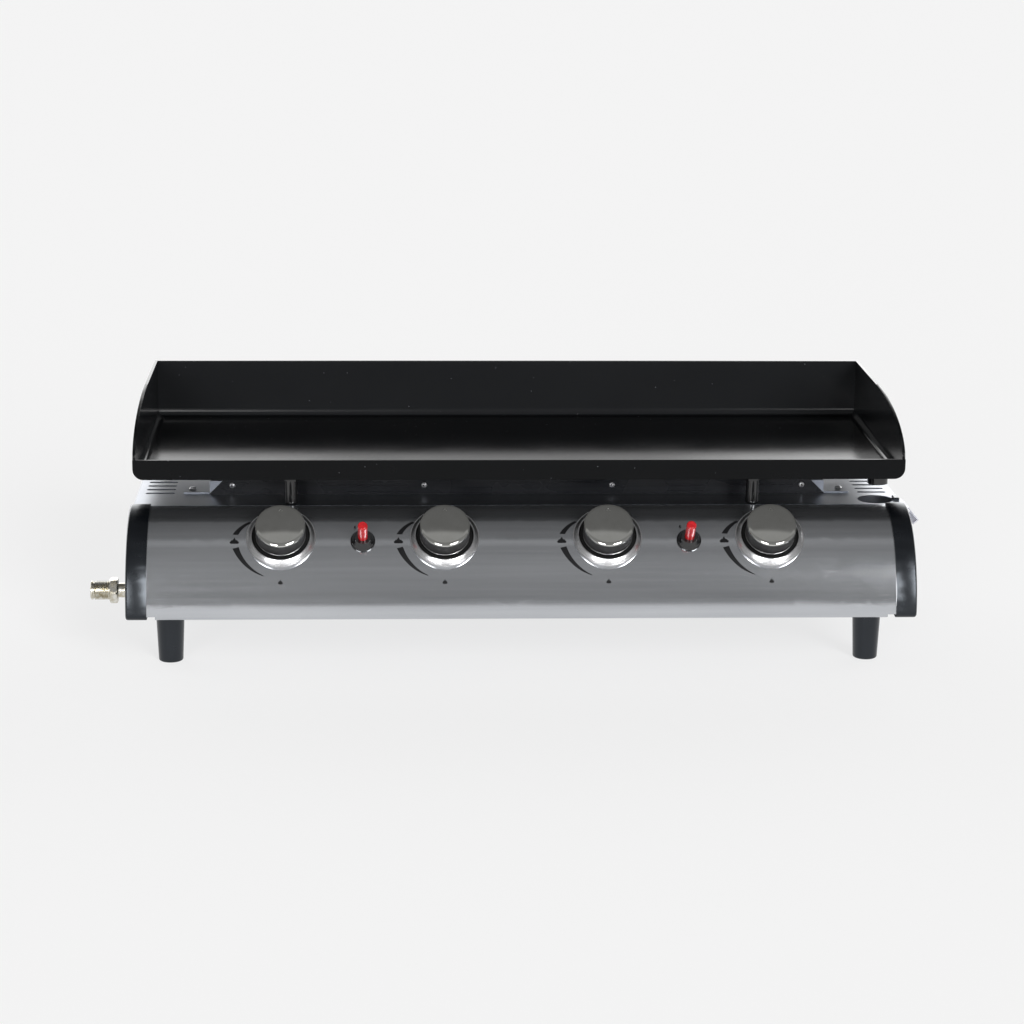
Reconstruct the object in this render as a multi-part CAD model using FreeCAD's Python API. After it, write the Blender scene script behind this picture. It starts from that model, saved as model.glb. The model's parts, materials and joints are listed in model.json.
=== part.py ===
"""Table-top gas griddle with four burners: one STEP file per piece, in millimetres.

Frame: the origin is on the table, under the middle of the whole object from the tip of the
gas inlet to the handle of the grease tray.  +X is to the right of a person who stands at the
knobs, +Y is away from that person, +Z is up.  The functions model the body about its own
middle, and export() moves every piece by the same centre_shift.
"""
import FreeCAD, Part
import math
import os

V = FreeCAD.Vector
X, Y, Z = V(1, 0, 0), V(0, 1, 0), V(0, 0, 1)
SIDES = (-1, 1)

# ---------------------------------------------------------------- driving dimensions
body_width = 800.0        # over the two end caps
body_depth = 392.0        # nose of the control panel to the back panel
base_height = 60.0        # table to the underside of the housing
panel_height = 98.0       # underside of the housing to the top sheet
panel_depth = 85.0        # nose of the control panel to its upper edge
sheet = 1.2               # steel sheet of the housing
flange = 14.0             # bent edges of the sheets
screw_radius = 1.9        # shank of the sheet screws, and their holes

cap_width = 21.0          # end caps, along X
cap_proud = 2.0           # how far a cap stands out from the panel
cap_wall = 3.0
cap_tongue = 8.0          # tongue of the cap that backs the end of the panel
cap_lining = 2.0          # thickness of the tongue and of the cap's floor
cap_round = 2.5           # outer rim of the cap
nose_radius = 4.0         # lower front edge of the panel and caps

foot_inset = 40.0         # foot axis from the end of the body
foot_setback = 64.0       # foot axis behind the nose, and in front of the back panel
foot_top_radius = 15.0
foot_bottom_radius = 12.5
foot_screw_shank = 3.0
foot_screw_length = 20.0

plate_width = 792.4
plate_depth = 306.0
plate_setback = 74.3      # front lip behind the nose of the panel
plate_gap = 29.7          # top sheet to the underside of the plate
plate_wall = 3.0
plate_bend = 8.0          # inside radius of the plate's long bends
lip_height = 20.6         # outside height of the front lip
wall_height = 65.3        # outside height of the side and back walls
side_rise = 170.0         # length over which the side walls rise from the lip
drain_x = 374.0
drain_setback = 108.0     # drain and grease hole behind the nose
drain_radius = 8.0
spout_wall = 2.5
spout_length = 12.2
post_x = 238.5
post_offset = 2.5         # the posts sit this far to the right of the middle
post_radius = 7.0
post_setbacks = (95.0, 370.0)
spigot_radius = 3.5
spigot_length = 9.0
collar_step = 2.0         # the collar's flats stand out from the post by this
collar_height = 4.5

box_half_width = 322.0    # open box round the burners
box_setback = 136.0
box_length = 218.0
box_bottom = 88.0
box_rise = 14.0           # above the top sheet
shield_rise = 26.0        # above the top sheet
ear_width = 27.0
ear_length = 36.0
ear_inset = 3.0
ear_screw_inset = 19.0    # ear screw from the side of the box
rivet_x = (-298.5, -98.5, 98.5, 298.5)
rivet_height = 9.5        # above the top sheet
rivet_head_radius = 2.85
rivet_shank_radius = 1.6

slot_count = 12           # air slots on each side of the top sheet
slot_pitch = 16.5
slot_length = 30.5
slot_width = 6.0
slot_centre_x = 373.7
slot_setback = 140.0
side_slot_count = 6       # upright air slots in each side panel
side_slot_pitch = 20.0
side_slot_lead = 156.0    # first side slot in front of the back panel
side_slot_margins = (22.0, 32.0)    # slot ends above the base and below the top
back_slot_count = 12      # air slots in each row of the back panel
back_slot_pitch = 58.0
back_slot_length = 40.0
back_slot_heights = (34.0, 58.0)    # rows above the base
base_slot_count = 5       # air slots under each burner
base_slot_pitch = 32.0
base_slot_length = 70.0
base_slot_width = 8.0
base_slot_lead = 40.0     # first base slot behind the front of the burner box
housing_screw_xs = (-330.0, -110.0, 110.0, 330.0)
side_screw_setbacks = (160.0, 40.0)    # behind the nose, and in front of the back panel
screw_inset = 7.0         # housing screws from the edges of their sheets
grease_hole_radius = 18.6
grease_hole_shift = 1.6   # the hole sits this far to the left of the drain

knob_pitch = 165.5
knob_row_offset = 3.5     # the row sits this far to the right of the middle
knob_station = 52.4       # degrees up the panel's ellipse
knob_radius = 25.2
knob_gap = 4.5            # panel to the bottom of the skirt
knob_height = 23.8        # panel to the top of the cap
cap_disc = 4.5            # thickness of the knob's metal cap
knob_push = 3.0           # travel that frees the tap
bezel_gap = 4.1           # skirt of the knob to the bezel
bezel_width = 5.9
bezel_height = 4.2
bezel_rim = 1.8           # height of the bezel's outer step
bezel_floor = 1.0         # thickness of the bezel under the knob
bonnet_hole = 10.0        # hole in the panel for the tap

stem_radius = 4.0
stem_flat_depth = 1.4     # how much the flat takes off the stem
plug_radius = 7.0
barrel_wall = 5.0
bonnet_step = 4.0         # the bonnet is wider than its hole by this, on the radius
spring_wire = 0.6
spring_slack = 0.6        # stem to the inside of the spring
spring_turns = 4
spring_end_gap = 0.3
outlet_depth = 44.0       # outlet and inlet branch off the barrel this far behind the panel
barrel_depth = 54.0
bonnet_depth = 12.0
chamber_top = 15.6
plug_top = 26.0
plug_bottom = 49.0
stem_bottom = 42.0
stem_top = 16.0
stem_collar = 1.5
outlet_radius = 6.0
outlet_setback = 92.0
jet_bore = 2.5
plug_gas_way = 1.2        # radius of the gas way in the plug
knob_skirt_wall = 2.5
knob_roof = 4.0           # solid part of the grip under its cap
knob_hub_wall = 4.5
cap_bevel = 1.5

igniter_station = 49.5    # degrees up the panel's ellipse
igniter_collar_radius = 12.5
igniter_collar_height = 8.5
igniter_barrel_radius = 8.0
button_radius = 5.0
button_height = 31.0
button_travel = 5.0
button_inner = 20.0       # how far the button reaches behind the panel
button_rounding = 1.6
igniter_depth = 46.0      # spark unit behind the panel
igniter_rim = 1.2         # upright edge of the collar
igniter_mouth_radius = 8.2
igniter_nut_flats = 22.0
igniter_nut_depth = 10.0

manifold_setback = 66.0
manifold_height = 73.9
manifold_radius = 8.0
manifold_bore = 6.0
manifold_inset = 12.0     # open end of the pipe from the end of the body
manifold_tail = 16.0      # pipe beyond the last tap
manifold_plug = 4.0       # closed end of the pipe
inlet_thread_radius = 10.0
inlet_thread_length = 19.4
inlet_reach = 40.4        # tip of the thread from the end of the body
inlet_spigot = 14.0
inlet_hex_length = 8.4
inlet_hex_flats = 24.0
inlet_neck_radius = 7.5
inlet_bore = 4.5

burner_radius = 12.0
burner_wall = 1.0
burner_mouth_setback = 100.0
burner_bell_radius = 15.0
burner_bell_length = 14.0
burner_stub_radius = 4.0
burner_end_gap = 10.0     # closed end of the burner in front of the box's rear wall
burner_stub_tip = 3.0     # stub beyond the rear wall
air_window_start = 18.0   # air window behind the burner's mouth
air_window_length = 10.0
air_window_height = 10.0
port_radius = 1.25
port_pitch = 12.0
port_lean = 35.0          # degrees from straight up, to both sides
port_margin = 16.0        # first port behind the front wall of the box
sensor_offset = 24.0      # thermocouple beside its burner
sensor_rise = 14.0        # thermocouples and electrodes above the burners' axes
sensor_radius = 2.2
sensor_tail = 8.0         # sensor in front of the box
sensor_length = 34.0
lead_radius = 1.0
electrode_radius = 3.5
electrode_offset = -26.0  # spark electrode beside its burner
electrode_burners = (0, 2)
electrode_tail = 14.0
electrode_length = 32.0
electrode_wire = 0.9
jet_flats = 11.0
jet_hex_length = 5.0
jet_cone = (4.5, 3.0, 7.0)    # radii and length of the jet's nose
jet_hole = 0.7

tray_x0 = 300.0
tray_depth = 33.0
tray_drop = 12.6          # rims of the tray below the top sheet
tray_slack = 0.3          # tray to its guides and to the side panel
tray_box_gap = 0.6        # rear guide to the burner box
tray_rim = 3.8
tray_sheet = 1.0
tray_face_margins = (5.0, 3.0)    # face plate below the pan and behind its rim
tray_face_drop = 5.5      # top of the face plate below the top sheet
tray_opening_gap = 4.5    # opening in the side panel below the pan
guide_shelf = 4.6
handle_reach = 17.5       # how far the handle stands out from the tray's face
handle_width = 38.0
handle_drop = 13.0
handle_hook = 5.5

# clearances
running = 0.06            # shaft in a hole, on the radius
free = 0.4                # pieces that pass each other
cap_gap = 1.5             # end caps and top sheet behind the panel's upper edge
through = 60.0            # length of a cutter that passes right through a small piece

# ---------------------------------------------------------------- derived places
front = -body_depth / 2
back = body_depth / 2
top = base_height + panel_height
half_body = body_width / 2
cap_inner = half_body - cap_width
cap_rear = front + panel_depth + cap_gap
top_front = cap_rear
sheet_end = cap_inner - cap_tongue - free   # bent edges stop clear of the cap's tongue
side_x = half_body - cap_wall            # outer face of the side panels
panel_axis_y = front + panel_depth
plate_bottom = top + plate_gap
plate_front = front + plate_setback
plate_back = plate_front + plate_depth
box_front = front + box_setback
box_back = box_front + box_length
manifold_y = front + manifold_setback
drain_y = front + drain_setback
foot_x = half_body - foot_inset
inlet_tip_x = -half_body - inlet_reach
manifold_x0 = -half_body + manifold_inset
spout_radius = drain_radius + spout_wall
collar_radius = post_radius + collar_step
bezel_opening = knob_radius + bezel_gap
bezel_radius = bezel_opening + bezel_width
bonnet_radius = bonnet_hole + bonnet_step
barrel_radius = plug_radius + barrel_wall
stem_flat = stem_radius - stem_flat_depth
spring_radius = stem_radius + spring_slack + spring_wire
stem_collar_radius = spring_radius + spring_wire + running
tray_front = top_front + 2 * sheet + tray_slack + tray_rim
tray_rear = box_front - tray_box_gap - sheet - free
tray_width = tray_rear - tray_rim - tray_front
tray_top = top - tray_drop
tray_bottom = tray_top - tray_depth
tray_face = side_x + tray_slack
centre_shift = -(inlet_tip_x + tray_face + sheet + handle_reach) / 2
knob_xs = [knob_row_offset + knob_pitch * (i - 1.5) for i in range(4)]
igniter_xs = [(knob_xs[0] + knob_xs[1]) / 2, (knob_xs[2] + knob_xs[3]) / 2]
foot_ys = (front + foot_setback, back - foot_setback)
foot_names = {(-1, 0): "foot_front_left", (1, 0): "foot_front_right",
              (-1, 1): "foot_rear_left", (1, 1): "foot_rear_right"}
parts = {}


# ---------------------------------------------------------------- helpers
def box(x0, x1, y0, y1, z0, z1):
    """Block between three pairs of coordinates."""
    return Part.makeBox(x1 - x0, y1 - y0, z1 - z0, V(x0, y0, z0))


def rod(start, direction, radius, length):
    """Round bar from a start point."""
    return Part.makeCylinder(radius, length, start, direction)


def turned(outline, axis=Z, origin=V(0, 0, 0)):
    """Solid of revolution of (radius, height) points round an axis."""
    points = [V(r, 0, h) for r, h in outline]
    face = Part.Face(Part.makePolygon(points + points[:1]))
    solid = face.revolve(V(0, 0, 0), Z, 360)
    solid.Placement = FreeCAD.Placement(origin, FreeCAD.Rotation(Z, axis))
    return solid


def prism_xz(points, y0, y1):
    """Polygon in the XZ plane, extruded along Y."""
    wire = Part.makePolygon([V(x, y0, z) for x, z in points + points[:1]])
    return Part.Face(wire).extrude(Y * (y1 - y0))


def hexagon(flats, height, start, axis):
    """Hexagonal bar with a given width across its flats."""
    radius = flats / math.sqrt(3)
    corners = [V(radius * math.cos(math.radians(60 * i)), radius * math.sin(math.radians(60 * i)), 0)
               for i in range(6)]
    bar = Part.Face(Part.makePolygon(corners + corners[:1])).extrude(Z * height)
    bar.Placement = FreeCAD.Placement(start, FreeCAD.Rotation(Z, axis))
    return bar


def tube_path(points, radius):
    """Thin bar along straight runs, with round joints."""
    pieces = []
    for a, b in zip(points, points[1:]):
        pieces.append(rod(a, b - a, radius, (b - a).Length))
    pieces += [Part.makeSphere(radius, p) for p in points[1:-1]]
    return pieces[0].multiFuse(pieces[1:]).removeSplitter()


def dome(radius, height):
    """Low round head that sits on the XY plane."""
    ball = (radius ** 2 + height ** 2) / (2 * height)
    sphere = Part.makeSphere(ball, V(0, 0, height - ball))
    return sphere.common(box(-ball, ball, -ball, ball, 0, height))


def screw(seat, outward, head=4.0, shank=screw_radius, length=5.0):
    """Pan-head screw with a cross recess; its head sits on the seat point."""
    cross = box(-head * 0.55, head * 0.55, -0.45, 0.45, head * 0.25, head)
    body = dome(head, head * 0.55).fuse(rod(V(0, 0, 0), -Z, shank, length))
    body = body.cut(cross).cut(cross.rotated(V(0, 0, 0), Z, 90))
    body.Placement = FreeCAD.Placement(seat, FreeCAD.Rotation(Z, outward))
    return body


def edges_where(shape, test):
    """Edges whose every end point passes a test."""
    return [e for e in shape.Edges if all(test(v.Point) for v in e.Vertexes)]


def near(a, b):
    return abs(a - b) < 1e-4


def ellipse_bar(x0, x1, y, z, arm_y, arm_z):
    """Bar along X with a full elliptical section."""
    centre = V(x0, y, z)
    arms = sorted([V(0, -arm_y, 0), V(0, 0, arm_z)], key=lambda arm: -arm.Length)
    ellipse = Part.Ellipse(centre + arms[0], centre + arms[1], centre)
    return Part.Face(Part.Wire(ellipse.toShape())).extrude(X * (x1 - x0))


def quarter_bar(x0, x1, inset, floor=base_height, rear=panel_axis_y, nose=0.0):
    """Bar along X with the panel's section, smaller by an inset, its nose edge rounded."""
    bar = ellipse_bar(x0, x1, panel_axis_y, base_height, panel_depth - inset, panel_height - inset)
    bar = bar.common(box(x0, x1, front - 2 * cap_proud, rear, floor, top + 2 * cap_proud))
    if nose:
        edges = edges_where(bar, lambda p: near(p.z, floor) and p.y < front + flange / 2)
        bar = bar.makeFillet(nose, [e for e in edges if near(e.Length, x1 - x0)])
    return bar


def panel_place(x, station):
    """Placement on the panel: +Z points out of it and +Y up its slope."""
    t = math.radians(station)
    y = panel_axis_y - panel_depth * math.cos(t)
    z = base_height + panel_height * math.sin(t)
    lean = math.degrees(math.atan2(math.sin(t) / panel_height, math.cos(t) / panel_depth))
    return FreeCAD.Placement(V(x, y, z), FreeCAD.Rotation(X, 90 - lean))


def on_panel(shape, x, station):
    """Copy of a shape made at the origin, seated on the panel."""
    copy = shape.copy()
    copy.Placement = panel_place(x, station).multiply(copy.Placement)
    return copy


def d_bar(radius, flat, low, high):
    """Round bar along Z with one flat."""
    bar = rod(V(0, 0, low), Z, radius, high - low)
    return bar.cut(box(-radius, radius, flat, radius + 1, low, high))


def slot(x, y, length, width, z0, z1):
    """Round-ended cutter along X."""
    half = length / 2 - width / 2
    cutter = box(x - half, x + half, y - width / 2, y + width / 2, z0, z1)
    for side in SIDES:
        cutter = cutter.fuse(rod(V(x + side * half, y, z0), Z, width / 2, z1 - z0))
    return cutter


def cut_all(shape, cutters):
    """Shape less every cutter."""
    return shape.cut(Part.makeCompound(cutters))


def group(shapes):
    """Separate solids kept in one node."""
    return Part.makeCompound(shapes)


# ---------------------------------------------------------------- control panel and end caps


def make_control_panel():
    """Brushed front sheet, bent to a quarter ellipse, with holes for taps and igniters."""
    outer = quarter_bar(-cap_inner, cap_inner, 0, nose=nose_radius)
    inner = quarter_bar(-cap_inner, cap_inner, sheet, base_height + sheet, panel_axis_y + 1,
                        nose_radius - sheet)
    shell = outer.cut(inner)
    shell = shell.cut(box(-cap_inner, cap_inner, front + flange, panel_axis_y + 1,
                          base_height, base_height + sheet))
    for side in SIDES:
        low, high = sorted((side * sheet_end, side * cap_inner))
        shell = shell.cut(box(low, high, front, panel_axis_y, base_height, base_height + nose_radius))
    shell = shell.fuse(box(-sheet_end, sheet_end, panel_axis_y - sheet, panel_axis_y, top - flange,
                           top - sheet / 2))
    holes = [on_panel(rod(V(0, 0, -20), Z, bonnet_hole, 40), x, knob_station) for x in knob_xs]
    holes += [on_panel(rod(V(0, 0, -20), Z, igniter_barrel_radius, 40), x, igniter_station)
              for x in igniter_xs]
    return cut_all(shell, holes).removeSplitter()


def make_end_cap(side):
    """Moulded cap that closes one end of the panel, with a tongue that backs it."""
    outer = quarter_bar(cap_inner, half_body, -cap_proud, rear=cap_rear, nose=nose_radius + cap_proud)
    rim = edges_where(outer, lambda p: near(p.x, half_body))
    outer = outer.makeFillet(cap_round, [e for e in rim if not isinstance(e.Curve, Part.Line)])
    lining = sheet + cap_lining
    floor = base_height + cap_lining
    hollow = quarter_bar(cap_inner, half_body - cap_wall, lining, floor, cap_rear + 1)
    tongue = quarter_bar(cap_inner - cap_tongue, cap_inner, sheet, base_height + nose_radius)
    tongue = tongue.cut(quarter_bar(cap_inner - cap_tongue, cap_inner, lining, base_height,
                                    cap_rear + 1))
    cap = outer.cut(hollow).fuse(tongue).removeSplitter()
    if side < 0:
        cap = cap.mirror(V(0, 0, 0), X)
        cap = cap.cut(rod(V(-half_body - 1, manifold_y, manifold_height), X,
                          inlet_neck_radius + free, cap_wall + 2))
    return cap


# ---------------------------------------------------------------- housing sheets
def make_top_frame():
    """Top sheet with the burner opening, air slots, grease hole and post holes."""
    plate = box(-side_x, side_x, top_front, back, top - sheet, top)
    bend = box(-side_x + sheet, side_x - sheet, top_front, top_front + sheet, top - flange, top - sheet)
    rear = box(-side_x + sheet, side_x - sheet, back - 2 * sheet, back - sheet, top - flange, top - sheet)
    plate = plate.fuse(bend).fuse(rear)
    for side in SIDES:
        low, high = sorted((side * (side_x - sheet), side * (side_x - 2 * sheet)))
        plate = plate.fuse(box(low, high, top_front + sheet, back - 2 * sheet, top - flange, top - sheet))
    cutters = [box(-box_half_width, box_half_width, box_front, box_back, top - flange, top + 1),
               rod(V(drain_x - grease_hole_shift, drain_y, top - 2 * sheet), Z, grease_hole_radius,
                   3 * sheet),
               box(side_x - 3 * sheet, side_x, front, tray_rear + tray_face_margins[1], base_height,
                   tray_top + 1)]
    for side in SIDES:
        for i in range(slot_count):
            cutters.append(slot(side * slot_centre_x, front + slot_setback + i * slot_pitch,
                                slot_length, slot_width, top - 2 * sheet, top + sheet))
    for x, y in post_places():
        cutters.append(rod(V(x, y, top - 2 * sheet), Z, spigot_radius + free, 3 * sheet))
    cutters += [rod(V(x, y, top - 2 * sheet), Z, screw_radius, 3 * sheet) for x, y in ear_screw_places()]
    cutters += housing_screw_holes()
    return cut_all(plate, cutters).removeSplitter()


def make_side_panel(side):
    """Flat side sheet; the right one is open for the grease tray."""
    low, high = sorted((side * side_x, side * (side_x - sheet)))
    panel = box(low, high, cap_rear + free, back - sheet, base_height, top - sheet)
    cutters = housing_screw_holes()
    for i in range(side_slot_count):
        y = back - side_slot_lead + i * side_slot_pitch
        cutters.append(box(low - 1, high + 1, y, y + slot_width, base_height + side_slot_margins[0],
                           top - side_slot_margins[1]))
    if side > 0:
        cutters.append(box(low - 1, high + 1, front, tray_rear + tray_face_margins[1] / 2,
                           tray_bottom - tray_opening_gap, tray_top + 1))
    return cut_all(panel, cutters)


def make_back_panel():
    """Flat back sheet with two rows of air slots."""
    panel = box(-side_x, side_x, back - sheet, back, base_height, top - sheet)
    cutters = housing_screw_holes()
    upright = slot(0, 0, back_slot_length, slot_width, -sheet, sheet).rotated(V(0, 0, 0), X, 90)
    for i in range(back_slot_count):
        x = (i - (back_slot_count - 1) / 2) * back_slot_pitch
        for height in back_slot_heights:
            cutters.append(upright.translated(V(x, back - sheet / 2, base_height + height)))
    return cut_all(panel, cutters)


def make_base_pan():
    """Bottom sheet with upturned edges, air slots and holes for the foot screws."""
    pan = box(-sheet_end, sheet_end, front + flange, cap_rear + free, base_height, base_height + sheet)
    inner_x = side_x - sheet
    pan = pan.fuse(box(-inner_x, inner_x, cap_rear + free, back - sheet, base_height, base_height + sheet))
    for side in SIDES:
        low, high = sorted((side * inner_x, side * (inner_x - sheet)))
        pan = pan.fuse(box(low, high, cap_rear + free, back - sheet, base_height, base_height + flange))
    pan = pan.fuse(box(-inner_x, inner_x, back - 2 * sheet, back - sheet, base_height, base_height + flange))
    cutters = [rod(V(x, y, base_height - 1), Z, foot_screw_shank, 2 * sheet + 2) for x, y in foot_places()]
    for x in knob_xs:
        for i in range(base_slot_count):
            cutters.append(slot(x, box_front + base_slot_lead + i * base_slot_pitch, base_slot_length,
                                base_slot_width, base_height - 1, base_height + 2 * sheet))
    return cut_all(pan, cutters + housing_screw_holes()).removeSplitter()


def housing_screw_places():
    """Seat point and outward direction of each screw in the side and back panels."""
    places = []
    for z in (base_height + screw_inset, top - sheet - screw_inset):
        for x in housing_screw_xs:
            places.append((V(x, back, z), Y))
        for side in SIDES:
            for y in (front + side_screw_setbacks[0], back - side_screw_setbacks[1]):
                places.append((V(side * side_x, y, z), X * side))
    return places


def housing_screw_holes():
    return [rod(p + d, -d, screw_radius, 4 * sheet) for p, d in housing_screw_places()]


# ---------------------------------------------------------------- feet
def foot_places():
    return [(side * foot_x, y) for side in SIDES for y in foot_ys]


def make_foot(x, y):
    """Tapered foot with a rounded lower edge and a blind hole for its screw."""
    foot = Part.makeCone(foot_bottom_radius, foot_top_radius, base_height, V(x, y, 0), Z)
    foot = foot.makeFillet(2.0, edges_where(foot, lambda p: near(p.z, 0)))
    return foot.cut(rod(V(x, y, base_height), -Z, foot_screw_shank, foot_screw_length - sheet))


def make_foot_screws():
    seat = base_height + sheet
    return group([screw(V(x, y, seat), Z, 6.0, foot_screw_shank, foot_screw_length)
                  for x, y in foot_places()])


# ---------------------------------------------------------------- burner box and shields
def ear_screw_places():
    """Screws in the four ears of the burner box."""
    places = []
    for side in SIDES:
        for y in (box_front + ear_inset + ear_length / 2, box_back - ear_inset - ear_length / 2):
            places.append((side * (box_half_width + ear_screw_inset), y))
    return places


def make_burner_box():
    """Open sheet box round the burners, hung from the top sheet by four ears."""
    top_z = top + box_rise
    shell = box(-box_half_width, box_half_width, box_front, box_back, box_bottom, top_z)
    inside = box(sheet - box_half_width, box_half_width - sheet, box_front + sheet, box_back - sheet,
                 box_bottom - 1, top_z + 1)
    shell = shell.cut(inside)
    for side in SIDES:
        low, high = sorted((side * box_half_width, side * (box_half_width + ear_width)))
        for y in (box_front + ear_inset, box_back - ear_inset - ear_length):
            shell = shell.fuse(box(low, high, y, y + ear_length, top, top + sheet))
    cutters = [rod(V(x, y, top - 1), Z, screw_radius, 4 * sheet) for x, y in ear_screw_places()]
    for x in rivet_x:
        cutters.append(rod(V(x, box_front - 1, top + rivet_height), Y, rivet_shank_radius, box_length + 2))
    for x in knob_xs:
        cutters.append(rod(V(x, box_front - 1, burner_z), Y, burner_radius, sheet + 2))
        cutters.append(rod(V(x, box_back + 1, burner_z), -Y, burner_stub_radius, sheet + 2))
        cutters.append(rod(V(x + sensor_offset, box_front - 1, sensor_z), Y, sensor_radius, sheet + 2))
    for i in electrode_burners:
        cutters.append(rod(V(knob_xs[i] + electrode_offset, box_front - 1, sensor_z), Y,
                           electrode_radius, sheet + 2))
    return cut_all(shell, cutters).removeSplitter()


def make_sheet_screws():
    """Equal screws in the side panels, the back panel and the ears of the burner box."""
    ears = [(V(x, y, top + sheet), Z) for x, y in ear_screw_places()]
    return group([screw(seat, outward) for seat, outward in housing_screw_places() + ears])


def make_wind_shield(y):
    """Upright sheet with its upper corners cut at 45 degrees, riveted to the box."""
    half = box_half_width + 1.0
    outline = [(-half, top), (half, top), (half - shield_rise, top + shield_rise),
               (shield_rise - half, top + shield_rise)]
    shield = prism_xz(outline, y, y + sheet)
    return cut_all(shield, [rod(V(x, y - 1, top + rivet_height), Y, rivet_shank_radius, sheet + 2)
                            for x in rivet_x])


def make_shield_rivets():
    """Dome-headed rivets through each shield and the wall of the burner box."""
    rivets = []
    grip = 2 * sheet
    rivet = dome(rivet_head_radius, 1.3).fuse(rod(V(0, 0, 0), -Z, rivet_shank_radius, grip))
    rivet = rivet.fuse(rod(V(0, 0, -grip), -Z, rivet_head_radius - 0.3, 0.9))
    for x in rivet_x:
        for y, outward in ((box_front - sheet, -Y), (box_back + sheet, Y)):
            copy = rivet.copy()
            copy.Placement = FreeCAD.Placement(V(x, y, top + rivet_height), FreeCAD.Rotation(Z, outward))
            rivets.append(copy)
    return group(rivets)


# ---------------------------------------------------------------- gas taps
burner_z = panel_place(0, knob_station).multVec(V(0, 0, -outlet_depth)).z
sensor_z = burner_z + sensor_rise


def make_valve_body(x):
    """Brass tap body: bonnet against the panel, barrel, inlet branch and outlet branch."""
    bonnet = rod(V(0, 0, -bonnet_depth), Z, bonnet_radius, through)
    bonnet = on_panel(bonnet, x, knob_station).common(
        quarter_bar(x - through, x + through, sheet, base_height, panel_axis_y))
    barrel = on_panel(rod(V(0, 0, -barrel_depth), Z, barrel_radius, barrel_depth - bonnet_depth + 1),
                      x, knob_station)
    start = panel_place(x, knob_station).multVec(V(0, 0, -outlet_depth))
    outlet = rod(start, Y, outlet_radius, front + outlet_setback - start.y)
    inlet = rod(V(x, manifold_y, manifold_height), Z, outlet_radius, burner_z - manifold_height)
    body = bonnet.multiFuse([barrel, outlet, inlet])
    chamber = rod(V(0, 0, -plug_bottom - free), Z, plug_radius + running, plug_bottom + free - chamber_top)
    stem_hole = rod(V(0, 0, -chamber_top - 1), Z, stem_radius + running, through)
    cutters = [on_panel(chamber, x, knob_station), on_panel(stem_hole, x, knob_station),
               rod(start, Y, jet_bore, through),
               rod(V(x, manifold_y, manifold_height), Z, jet_bore, burner_z - manifold_height),
               rod(V(x - through / 2, manifold_y, manifold_height), X, manifold_radius, through)]
    return cut_all(body, cutters).removeSplitter()


def make_valve_plug(x):
    """Plug that turns in the barrel, with a D-shaped socket for the stem."""
    plug = rod(V(0, 0, -plug_bottom), Z, plug_radius, plug_bottom - plug_top)
    socket = d_bar(stem_radius + running, stem_flat + running,
                   -stem_bottom - knob_push - free, -plug_top)
    gas_way = rod(V(0, 0, -outlet_depth - knob_push), Y, plug_gas_way, 2 * plug_radius)
    return on_panel(plug.cut(socket).cut(gas_way), x, knob_station)


def make_valve_stem(x):
    """Stem with a flat all along and a collar that the spring pushes on."""
    stem = d_bar(stem_radius, stem_flat, -stem_bottom, -chamber_top - free)
    neck = rod(V(0, 0, -chamber_top - free), Z, stem_radius, chamber_top + free + knob_gap)
    tip = d_bar(stem_radius, stem_flat, knob_gap, stem_top)
    collar = rod(V(0, 0, -chamber_top - free), -Z, stem_collar_radius, stem_collar)
    return on_panel(stem.multiFuse([neck, tip, collar]).removeSplitter(), x, knob_station)


def make_knob_grip(x):
    """Hollow skirt with a hub whose D-shaped socket takes the stem."""
    height = knob_height - cap_disc
    grip = rod(V(0, 0, knob_gap), Z, knob_radius, height - knob_gap)
    pocket = rod(V(0, 0, knob_gap), Z, knob_radius - knob_skirt_wall, height - knob_gap - knob_roof)
    hub = rod(V(0, 0, knob_gap), Z, stem_radius + knob_hub_wall, height - knob_gap - knob_roof)
    grip = grip.cut(pocket.cut(hub)).cut(d_bar(stem_radius, stem_flat, knob_gap, stem_top))
    return on_panel(grip, x, knob_station)


def make_knob_cap(x):
    """Metal disc on the knob, with a bevelled edge."""
    low = knob_height - cap_disc
    disc = turned([(0, low), (knob_radius, low), (knob_radius, knob_height - cap_bevel),
                   (knob_radius - cap_bevel, knob_height), (0, knob_height)])
    return on_panel(disc, x, knob_station)


def make_knob_bezels():
    """Stepped metal rings round the knobs; their undersides follow the panel."""
    skirt = bezel_radius / 3
    step = bezel_rim - bezel_floor
    ring = turned([(bonnet_hole + 1, -skirt), (bezel_radius, -skirt), (bezel_radius, step),
                   (bezel_radius - sheet, step), (bezel_radius - sheet, bezel_rim),
                   (bezel_opening + 1, bezel_height), (bezel_opening, bezel_height),
                   (bezel_opening, bezel_floor), (bonnet_hole + 1, bezel_floor)])
    panel = quarter_bar(knob_xs[0] - through, knob_xs[-1] + through, 0, base_height - 1, panel_axis_y + 5)
    return group([on_panel(ring, x, knob_station).cut(panel) for x in knob_xs])


def make_knob_springs():
    """Coil spring under each stem's collar, at the length it has with the knob out."""
    low = -plug_top + spring_end_gap
    high = -chamber_top - free - stem_collar - spring_end_gap
    rise = high - low - spring_wire * 2
    springs = []
    for x in knob_xs:
        helix = Part.makeHelix(rise / spring_turns, rise, spring_radius)
        section = Part.Wire(Part.makeCircle(spring_wire, V(spring_radius, 0, 0), Y))
        coil = helix.makePipeShell([section], True, True)
        coil.translate(V(0, 0, low + spring_wire))
        springs.append(on_panel(coil, x, knob_station))
    return group(springs)


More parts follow.
